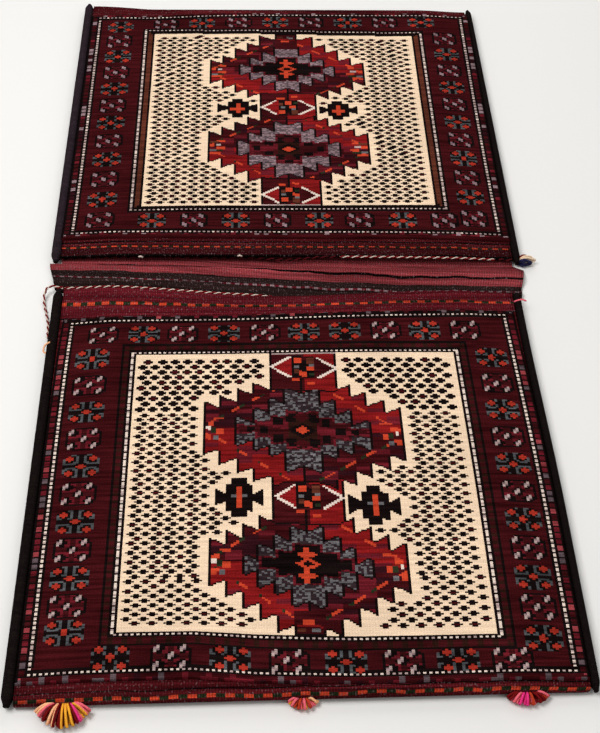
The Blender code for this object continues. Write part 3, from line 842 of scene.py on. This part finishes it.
def medallion(plan, body, grey, spec, index):
    """One medallion: saw-toothed body in four quarters, speckled inner diamond, and its heart."""
    column, row, half, tooth, upper, lower = body
    shape = plan.saw(*body, (5.0, 4.2))
    quarter = (plan.column > column) ^ (plan.row > row) ^ spec["mirror"]
    pick = np.random.default_rng(index + 5)
    away, along = plan.away(column, row)
    step = ((half - away) / tooth).astype(int) + 8 * (plan.column > column)
    lot = pick.random((20, ROWS // 3 + 1))[step, plan.level.astype(int) // 3]
    plan.paint(shape & quarter, "red", lot < 0.22, "crimson")
    plan.paint(shape & ~quarter, "claret", lot < 0.30, "aubergine")
    plan.paint(shape & ~quarter & (lot > 0.78), "crimson")
    flecks = shape & (np.abs(along - (half + 1.5 - away) * 1.02) < 0.9) & (away > 3)
    plan.paint(flecks & (np.mod(away + 2, 8) < 3), "green")
    plan.paint(flecks & (np.mod(away + 3 * quarter, 8) < 3.4), "orange")

    half, tooth, above, below, heights, offset = grey
    middle = row + offset
    inner = plan.saw(column, middle, half, tooth, above, below, (4.6, 4.6))
    dark, light = spec["grey_dyes"]
    plan.paint(inner, dark, pick.random(inner.shape) < 0.42, light)
    plan.paint(outline(~inner & shape), "ink")
    core = plan.saw(column, middle, half, tooth, heights, heights, (1.0, 1.0))
    plan.paint(core, "ink")
    plan.paint(outline(core), "wine", pick.random(core.shape) < 0.6, "crimson")
    plan.block(column - 0.5, column + 0.5, row - upper[3] - 4, middle - above[-1] + 4, "ink")
    plan.block(column - 0.5, column + 0.5, middle + below[-1] - 4, row + lower[3], "ink")
    heart(plan, column, middle, core, index == 1)
    return shape


def heart(plan, column, row, core, cross):
    """The middle of a medallion."""
    away, along = plan.away(column, row)
    if not cross:
        deep = core & ~outline(core)
        plan.paint(deep, "wine", np.sin(plan.column * 12.7 + plan.level * 37.3) > 0.4, "crimson")
        for away_from, along_from, half in ((9.2, 6.2, 1.8), (14.6, 0, 1.6), (19.8, 0, 1.3)):
            spot = (np.abs(away - away_from) < half) & (np.abs(along - along_from) < half * 1.6)
            plan.paint(deep & spot, "ink")
        plan.paint(deep & (away < 5.4) & (along < 11), "umber")
        plan.paint(deep & (away > 2.4) & (away < 6.2) & (along > 6) & (along < 12), "ink")
        plan.paint(deep & (away < 2.0) & (along > 12), "ink")
        plan.paint(core & (away / 5.5 + along / 5.5 < 1), "ink")
        for end in (-9.5, 9.5):
            plan.paint(plan.lozenge(column, row + end, 3.4, 3.2) & core, "claret")
        plan.paint(plan.lozenge(column, row, 2.9, 3.0), "orange")
        return
    plan.block(column - 0.9, column + 0.9, row - 10.5, row + 11.5, "orange")
    for end in (-5.8, 7.2):
        plan.paint(plan.lozenge(column, row + end, 4.2, 2.4), "orange")
    plan.paint(plan.lozenge(column, row, 4.4, 4.2), "orange")
    plan.paint(plan.lozenge(column, row, 2.3, 2.0), "ink")


CLUSTERS = {
    "near": [
        (-1, 3.5, -8, -6.5, "orange"),
        (-3, -0.5, -5, -1.5, "orange"),
        (-3.5, -2, -1.5, 1, "white"),
        (-1.5, 0.5, -1, 3, "green"),
        (0.5, 2.8, 0, 4, "orange"),
        (-4, -1.8, 4, 8, "orange"),
        (-1, 1, 5, 8, "slate"),
    ],
    "far": [
        (-3.5, 1.5, -7, -5, "orange"),
        (-1, 3, -4.5, -2.5, "green"),
        (-3.5, -0.5, -4.5, -2.5, "slate"),
        (0, 4, -2, 0.5, "orange"),
        (-4, -1, 1, 4, "orange"),
        (-0.5, 2, 1.5, 3.5, "shell"),
        (-3.5, 1, 5, 6.5, "rust"),
        (0.5, 3.5, 5.5, 8, "orange"),
    ],
}


def side_motif(plan, column, row, tall):
    """A black winged block with an orange cross, on the cream ground."""
    plan.block(column - 5.0, column + 5.0, row - 9 * tall, row + 9 * tall, "ink")
    plan.block(column - 2.6, column + 2.6, row - 13 * tall, row + 13 * tall, "ink")
    away, along = plan.away(column, row)
    plan.paint((away >= 5.0) & (away < 9.4) & (along < (2.4 + (away - 5) * 0.9) * tall), "ink")
    arms = "slate" if tall == 1 else "orange"
    plan.block(column - 3.2, column + 3.2, row - 2.4, row - 2.4 + 2 / tall, arms)
    plan.block(column - 1.0, column + 1.0, row - 7 * tall, row + 7 * tall, "orange")


def spaced(first, last, count, crowd):
    """Places from first to last, a little closer together towards the last."""
    shares = np.linspace(0, 1, count)
    return first + (last - first) * shares * (1 + crowd * (1 - shares))


# %% [markdown]
# ## Both faces
#
# The two faces have the same design, drawn by the same functions with their own measures.

# %% Faces
# All in knots and rows. lines: the field's left, right, mouth and fold side, and margins: how far inside
# them its cream begins. strip: where the band round the field runs. edge: dyes of the outermost band.
# pitch: rows between lines of small figures near the mouth and beyond, knots between two figures, and how
# much wider that is at the fold. junctions: middle and half width of each waist. bodies: middle, half
# width, tooth, and heights of the teeth above and below. greys: the same of the inner diamonds without
# the middle, then the heart's teeth and its place. A rosette row, such as left: its kinds, first and last
# place, crowding, the row's own place, and its half sizes.
FACES = {
    "near": {
        "seed": 1,
        "drift": 0.075,
        "fold_lean": 0.0,
        "lines": (31, 163, 32.6, 226.0),
        "margins": (2.0, 2.4, 2.0),
        "strip": -3.1,
        "strip_dyes": ("wine", "umber"),
        "edge": ("crimson", "rose", "ashes", "claret", "crimson", "wine"),
        "edge_from": 0.0,
        "dim": 0.35,
        "pale": "shell",
        "pitch": (4, 3, 5.3, 1.16),
        "junctions": [(100.8, 46.5, 13.0), (101.0, 140.4, 12.4)],
        "bodies": [
            (99.4, 94.3, 38.5, 6.4, [20.3, 25.0, 31.0, 35.5], [19.5, 26.0, 32.0, 37.5, 41.0]),
            (99.4, 183.3, 35.4, 6.0, [15.4, 20.2, 25.2, 30.6], [16.0, 22.2, 29.0, 35.2, 41.5]),
        ],
        "greys": [
            (25.2, 6.3, [8.5, 16.0, 23.2, 31.3], [11.8, 15.6, 19.0, 29.3], [3.6, 6.8, 10.6, 14.5], 0),
            (22.8, 5.8, [4.8, 11.4, 17.6, 23.4], [8.0, 15.0, 19.0, 26.0], [0.5, 4.5, 8.5, 13.0], 0),
        ],
        "grey_dyes": ("ash", "slate"),
        "motifs": [(75.1, 142.1, 1.0), (124.8, 144.4, 1.0)],
        "mirror": False,
        "left": ("ABABABABABA", 37, 224, 0.10, 15.0, 7.0, 7.8),
        "right": ("ABABABABABA", 38.5, 227.5, 0.08, 177.4, 6.4, 7.6),
        "mouth": ("BABABAABAB", 18.5, 168.5, 0, 17.2, 6.4, 7.6),
        "fold": ("ABABABAB", 31.5, 166, 0.08, 239.3, 7.0, 6.8),
    },
    "far": {
        "seed": 2,
        "drift": -0.045,
        "fold_lean": -0.035,
        "lines": (28, 165, 24.6, 225.0),
        "margins": (5.0, 4.6, 5.0),
        "strip": 2.1,
        "strip_dyes": ("rust", "rust"),
        "edge": ("claret", "wine", "claret", "crimson", "aubergine", "lilac"),
        "edge_from": 1.9,
        "dim": 0.75,
        "pale": "lilac",
        "pitch": (3, 3, 5.15, 1.0),
        "junctions": [(98.0, 39.5, 12.4), (98.4, 133.0, 12.5)],
        "bodies": [
            (98.0, 87.7, 37.5, 6.2, [17.3, 22.4, 29.2, 36.8], [18.3, 23.0, 29.0, 34.5, 36.5]),
            (98.4, 174.0, 37.9, 6.2, [15.4, 21.0, 26.0, 31.0], [14.6, 20.0, 29.3, 35.5, 45.0]),
        ],
        "greys": [
            (23.4, 5.85, [8.8, 18.5, 22.0, 30.0], [8.4, 16.4, 22.3, 29.2], [0.0, 8.0, 8.5, 16.5], 0),
            (22.9, 5.7, [8.0, 13.7, 19.3, 26.7], [5.4, 12.7, 20.0, 28.2], [0.0, 5.3, 8.5, 15.0], 3.5),
        ],
        "grey_dyes": ("ashes", "lilac"),
        "motifs": [(74.6, 131.6, 0.8), (121.9, 130.7, 0.8)],
        "mirror": True,
        "left": ("BABABABABABA", 17, 234, 0.05, 15.5, 6.8, 7.6),
        "right": ("BABABABABAB", 17.5, 216, 0, 177.0, 6.3, 7.6),
        "mouth": ("ABABABAB", 38, 164, 0, 14.8, 6.5, 6.8),
        "fold": ("BABABABA", 38.5, 166.5, 0, 237.0, 6.7, 7.0),
    },
}


def draw_face(name):
    """The whole knot plan of one face."""
    spec = FACES[name]
    left, right, mouth, fold = spec["lines"]
    plan = KnotPlan(spec["drift"])
    field = bands(plan, spec)
    for side in ("left", "right", "mouth", "fold"):
        kinds, first, last, crowd, line, wide, tall = spec[side]
        for kind, place in zip(kinds, spaced(first, last, len(kinds), crowd)):
            column, row = (line, place) if side in ("left", "right") else (place, line)
            rosette(plan, column, row, wide, tall, kind, spec["pale"])
    plan.row = plan.drifted
    (column, row, half), (_, low, _) = spec["junctions"]
    shaft = plan.box(column - 13.4, column + 13.6, row - 20, low + 22) & field
    plan.paint(shaft, "claret", plan.column >= column, "red")
    dark = shaft.copy()
    for index, (body, grey) in enumerate(zip(spec["bodies"], spec["greys"])):
        dark |= medallion(plan, body, grey, spec, index)
        for sign in (-1, 1):
            plan.blocks(body[0] + sign * (body[2] - 5), body[1], CLUSTERS[name], sign > 0)
    column, row, _, _, _, lower = spec["bodies"][1]
    foot = plan.box(column - 5.8, column + 5.6, row + 28, fold + 5) & field
    plan.paint(foot, "claret")
    dark |= foot
    plan.paint(outline(dark & field) & field, "ink")
    plan.blocks(column, row + lower[4], FOOT)
    for junction in spec["junctions"]:
        waist(plan, *junction)
    for motif in spec["motifs"]:
        side_motif(plan, *motif)
    plan.row = plan.level
    small_figures(plan, spec)
    column = spec["junctions"][0][0]
    plan.block(column - 13, column + 13, mouth + spec["margins"][1], mouth + spec["margins"][1] + 1, "shell")
    return plan.dye


# %% [markdown]
# ## The pile
#
# Each knot is one face of a grid, painted with its own dye. The grid is laid on the pocket a little askew,
# as the cloth really lies, and its rim goes down into the flat weave.

# %% Pile
# How far the rows lean to the right and bow at the mouth, how far the sides draw in or spread at the mouth
# and at the fold, and how far the pile reaches at the fold: from what share of its length, and where
PILES = {
    "near": {
        "end": -1,
        "lean": 0.004,
        "bow": 0.0035,
        "sides": ((-0.013, 0), (-0.013, 0)),
        "reach_from": 0.78,
        "reach": ((-1, -0.38, -0.15, 0.2, 1), (-0.0068, -0.0072, -0.001, 0.003, 0.003)),
    },
    "far": {
        "end": 1,
        "lean": -0.004,
        "bow": 0.003,
        "sides": ((0.009, 0), (0.006, 0.015)),
        "reach_from": 0.9,
        "reach": ((-1, -0.7, -0.38, -0.15, 1), (-0.0115, -0.0085, -0.002, 0, 0)),
    },
}
REACH_FULL = 0.96  # the share of the pile's length from where it reaches all the way


def place_knot(pile):
    def place(u, v):
        inside = smooth_step(min(v, 1 - v) / 0.12)
        side = 2 * u - 1
        at_mouth, at_fold = pile["sides"][0 if side < 0 else 1]
        x = HALF_WIDTH * side * (1 + abs(side) * (at_mouth * (1 - v) ** 5 + at_fold * v * v))
        start = pile["reach_from"]
        reach = np.interp(side, *pile["reach"]) * smooth_step((v - start) / (REACH_FULL - start))
        y = pile["end"] * (PILE_START + (PILE_END - PILE_START) * v + reach)
        y -= pile["lean"] * side * inside
        y += pile["bow"] * inside * (1 - side * side) * (1 - v)
        flat = laid(x, y, FRONT)
        drop = PILE * 0.35 * (1 - smooth_step(min(u * KNOTS, (1 - u) * KNOTS) / 1.5))
        drop += PILE * 0.35 * (1 - smooth_step(min(v, 1 - v) * ROWS / 1.5))
        flat.z += PILE - drop + rng.uniform(-0.00018, 0.00018)
        return flat, (u * KNOTS, v * ROWS, 0)

    return place


def paint_knots(mesh, dyes):
    """Gives every face the dye of the knot that it lies on."""
    weave = mesh.verts.layers.float_vector["weave"]
    colour = mesh.loops.layers.float_color.new("dye")
    for face in mesh.faces:
        column = sum(point[weave].x for point in face.verts) / len(face.verts)
        row = sum(point[weave].y for point in face.verts) / len(face.verts)
        name = DYE_NAMES[dyes[min(int(row), ROWS - 1), min(int(column), KNOTS - 1)]]
        for loop in face.loops:
            loop[colour] = (*DYES[name], 1)


pile_wool = pile_material()
for pocket, pile in PILES.items():
    mesh = woven_grid(KNOTS, ROWS, place_knot(pile))
    rim = [edge for edge in mesh.edges if edge.is_boundary]
    made = bmesh.ops.extrude_edge_only(mesh, edges=rim)["geom"]
    skirt = [item for item in made if isinstance(item, bmesh.types.BMVert)]
    bmesh.ops.translate(mesh, verts=skirt, vec=(0, 0, -PILE - 0.0008))
    rim = [edge for edge in mesh.edges if edge.is_boundary]
    bmesh.ops.contextual_create(mesh, geom=rim)
    bmesh.ops.recalc_face_normals(mesh, faces=mesh.faces[:])
    paint_knots(mesh, draw_face(pocket))
    piece = show(f"pile_{pocket}", mesh, pile_wool)
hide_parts("woven_strip")

# %% [markdown]
# ## Overcast sides
#
# Dark goat hair is wound over both layers of each pocket's sides, in slanted turns.

# %% Overcast sides
TURN = 0.0022  # from one turn of the overcasting to the next


def overcast(name, end, side, sign):
    """One bound side, with a ridge for each turn."""
    mesh = bmesh.new()
    colour = mesh.verts.layers.float_color.new("dye")
    height = 2 * CLOTH + SIDE_GAP + PILE
    length = HALF_LENGTH - MOUTH
    sides, steps = 16, int(length / (TURN / 3))
    dye = DYES["dusk" if name == "far_left" else "goat"]
    rings = []
    for step in range(steps + 1):
        run = length * step / steps
        y = end * (MOUTH + run)
        taper = 0.55 + 0.45 * smooth_step(min(run, length - run) / 0.010)
        wide = BINDINGS[side]
        centre = sign * (HALF_WIDTH + CLEARANCE + wide / 2)
        centre += widening(centre, y) + spread_out(centre, y)
        tint = rng.uniform(0.75, 1.3)
        ring = []
        for index in range(sides):
            angle = 2 * math.pi * index / sides
            turn = run / TURN + index / sides
            ridge = 1 - 0.10 * abs(math.cos(math.pi * turn)) ** 2
            x = centre + taper * ridge * wide / 2 * math.cos(angle)
            z = height / 2 * (1 + taper * ridge * math.sin(angle))
            point = mesh.verts.new((x, y + slant(x, y), max(z, 0.0)))
            point[colour] = (*(part * tint for part in dye), 1)
            ring.append(point)
        rings.append(ring)
    skin(mesh, rings)
    bmesh.ops.recalc_face_normals(mesh, faces=mesh.faces[:])
    piece = show(f"overcast_{name}", mesh, goat)
    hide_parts(f"binding_{name}")


for pocket, end in (("near", -1), ("far", 1)):
    for side, sign in (("left", -1), ("right", 1)):
        overcast(f"{pocket}_{side}", end, side, sign)

# %% [markdown]
# ## Mouth cords
#
# A red and a cream yarn, twisted together and sewn along each mouth. Each cord rolls out of sight along
# half of its mouth, and there both its yarns are painted maroon and black as painted shade under the rim.

# %% Mouth cords
CORD_UNSHADED = {"near": (-0.30, -0.010), "far": (0.062, 0.257)}  # where the cord keeps its own red and cream; beyond it, it is painted dark as shade under the rim
for pocket, end in (("near", -1), ("far", 1)):
    path = []
    for step in range(129):
        point = laid(HALF_WIDTH * (2 * step / 128 - 1), end * MOUTH, FRONT)
        turned = 0.5 - end * point.x / CORD_TURN
        point.z += CORD_STANDS - CORD / 2 - CORD_SINKS * smooth_step(2 * turned)
        point.y += end * (CORD_TUCKS * smooth_step(2 * turned - 1) - CORD / 2 - CORD_SEAM)
        path.append(point)
    mesh = bmesh.new()
    low, high = CORD_UNSHADED[pocket]
    # Beyond that span the cord is painted maroon and black: painted shade where it is tucked under the rim.
    for part, dyes in (
        ([point for point in path if point.x < low], ("maroon", "ink")),
        ([point for point in path if low <= point.x <= high], ("red", "white")),
        ([point for point in path if point.x > high], ("maroon", "ink")),
    ):
        if len(part) > 1:
            two_ply(mesh, part, CORD, 0.0110, dyes)
    piece = show(f"rim_cord_{pocket}", mesh, spun)
    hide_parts(f"mouth_cord_{pocket}")

# %% [markdown]
# ## Tassels
#
# Bunches of soft yarn loops, each fanned out from the place where it is sewn on.

# %% Tassels


def tassel(place, anchor, out, width, reach, height, loops, yarns):
    """A fan of loops. out is the direction away from the edge, and yarns are the dyes across the fan."""
    mesh = bmesh.new()
    name = f"yarns_{place}"
    pick = random.Random(name)
    out = Vector(out)
    across = Vector((-out.y, out.x, 0))
    for index in range(loops):
        share = (index + 0.5) / loops
        angle = math.radians(-78 + 156 * share + pick.uniform(-6, 6))
        layer = index % 3
        reach_here = reach * (0.80 + 0.2 * math.cos(angle)) * (1 - 0.10 * layer)
        side_reach = width / 2 * math.sin(angle)
        top = height * (0.92 - 0.26 * layer)
        start = Vector(anchor) + across * side_reach * 0.35
        start.z = top * 0.55 + 0.001
        tip = Vector(anchor) + across * side_reach + out * reach_here * max(math.cos(angle), 0.35)
        rise = start.lerp(tip, 0.45)
        rise.z = top
        tip.z = top * 0.45 + 0.002
        under = start.lerp(tip, 0.6)
        under.z = max(top * 0.30, 0.0015)
        under += across * pick.uniform(-0.002, 0.002)
        back = start.copy()
        back.z = max(top * 0.35, 0.0015)
        path = smooth_path([start, rise, tip, under, back], 4)
        dye = yarns[min(int(share * len(yarns)), len(yarns) - 1)]
        if pick.random() < 0.30:
            dye = pick.choice(yarns)
        sweep(mesh, path, 0.0013, 6, dye)
    piece = show(name, mesh, spun)
    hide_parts(f"tassel_{place}")


TOWARDS_VIEWER = (0, -1, 0)
EDGE = -HALF_LENGTH + 0.0012
# Where each is sewn on, its direction, width, reach, height and number of loops, and its dyes
TASSELS = {
    "near_left": (
        ((-0.2215, EDGE, 0), TOWARDS_VIEWER, 0.052, 0.0245, 0.0145, 46),
        "peach pink red peach pink red yellow yellow red magenta yellow pink",
    ),
    "near_middle": (
        ((0.0020, EDGE, 0), TOWARDS_VIEWER, 0.029, 0.011, 0.0105, 18),
        "pink orange yellow pink peach",
    ),
    "near_right": (
        ((0.2130, EDGE, 0), TOWARDS_VIEWER, 0.041, 0.013, 0.0110, 26),
        "red pink magenta pink red orange",
    ),
    "mouth_right": (
        ((0.2825, 0.0225, 0), (1, 0, 0), 0.015, 0.020, 0.0115, 14),
        "navy navy cream white cream red",
    ),
}
for place, (measures, dyes) in TASSELS.items():
    tassel(place, *measures, dyes.split())

# %% [markdown]
# ## Loose threads
#
# Single yarn ends that show along the edges.

# %% Loose threads
# Radius, dye, and the points that it runs through
THREADS = [
    (0.001, "pink", (0.266, -0.053, 0.0125), (0.274, -0.0535, 0.0165), (0.28, -0.0545, 0.015)),
    (
        0.0011,
        "peach",
        (-0.274, -0.104, 0.015),
        (-0.28, -0.106, 0.012),
        (-0.2815, -0.113, 0.009),
        (-0.276, -0.115, 0.008),
    ),
    (0.0011, "white", (-0.179, 0.033, 0.015), (-0.177, 0.0315, 0.0172), (-0.1745, 0.0322, 0.015)),
    (0.0011, "white", (-0.059, 0.03, 0.016), (-0.057, 0.0287, 0.0182), (-0.0545, 0.0294, 0.016)),
]
mesh = bmesh.new()
for radius, dye, *points in THREADS:
    sweep(mesh, smooth_path(points, 5), radius, 6, dye)
threads = show("loose_threads", mesh, spun)

# %% [markdown]
# ## Floor and light

# %% Floor and light
floor_data = bpy.data.meshes.new("floor")
floor_data.from_pydata([(-4, -4, 0), (4, -4, 0), (4, 4, 0), (-4, 4, 0)], [], [(0, 1, 2, 3)])
floor = bpy.data.objects.new("floor", floor_data)
bpy.context.scene.collection.objects.link(floor)
pale = bpy.data.materials.new("pale_floor")
pale.use_nodes = True
floor_shader = pale.node_tree.nodes["Principled BSDF"]
floor_shader.inputs["Base Color"].default_value = (0.72, 0.71, 0.69, 1)
floor_shader.inputs["Roughness"].default_value = 0.9
floor_data.materials.append(pale)


def area_light(name, place, target, size, power):
    data = bpy.data.lights.new(name, "AREA")
    data.size = size
    data.energy = power
    light = bpy.data.objects.new(name, data)
    light.location = place
    light.rotation_euler = (Vector(target) - Vector(place)).to_track_quat("-Z", "Y").to_euler()
    bpy.context.scene.collection.objects.link(light)


area_light("key", (-1.0, -0.2, 2.2), (0, 0.1, 0), 1.2, 46)
area_light("fill", (1.6, -1.2, 1.8), (0, 0, 0), 2.0, 14)
area_light("back", (0.3, 2.0, 1.6), (0, 0.1, 0), 1.6, 22)
world = bpy.data.worlds.new("studio")
world.use_nodes = True
sky = world.node_tree.nodes["Background"]
sky.inputs["Color"].default_value = (1.0, 0.98, 0.96, 1)
sky.inputs["Strength"].default_value = 0.32
bpy.context.scene.world = world
bpy.context.scene.view_settings.view_transform = "Standard"
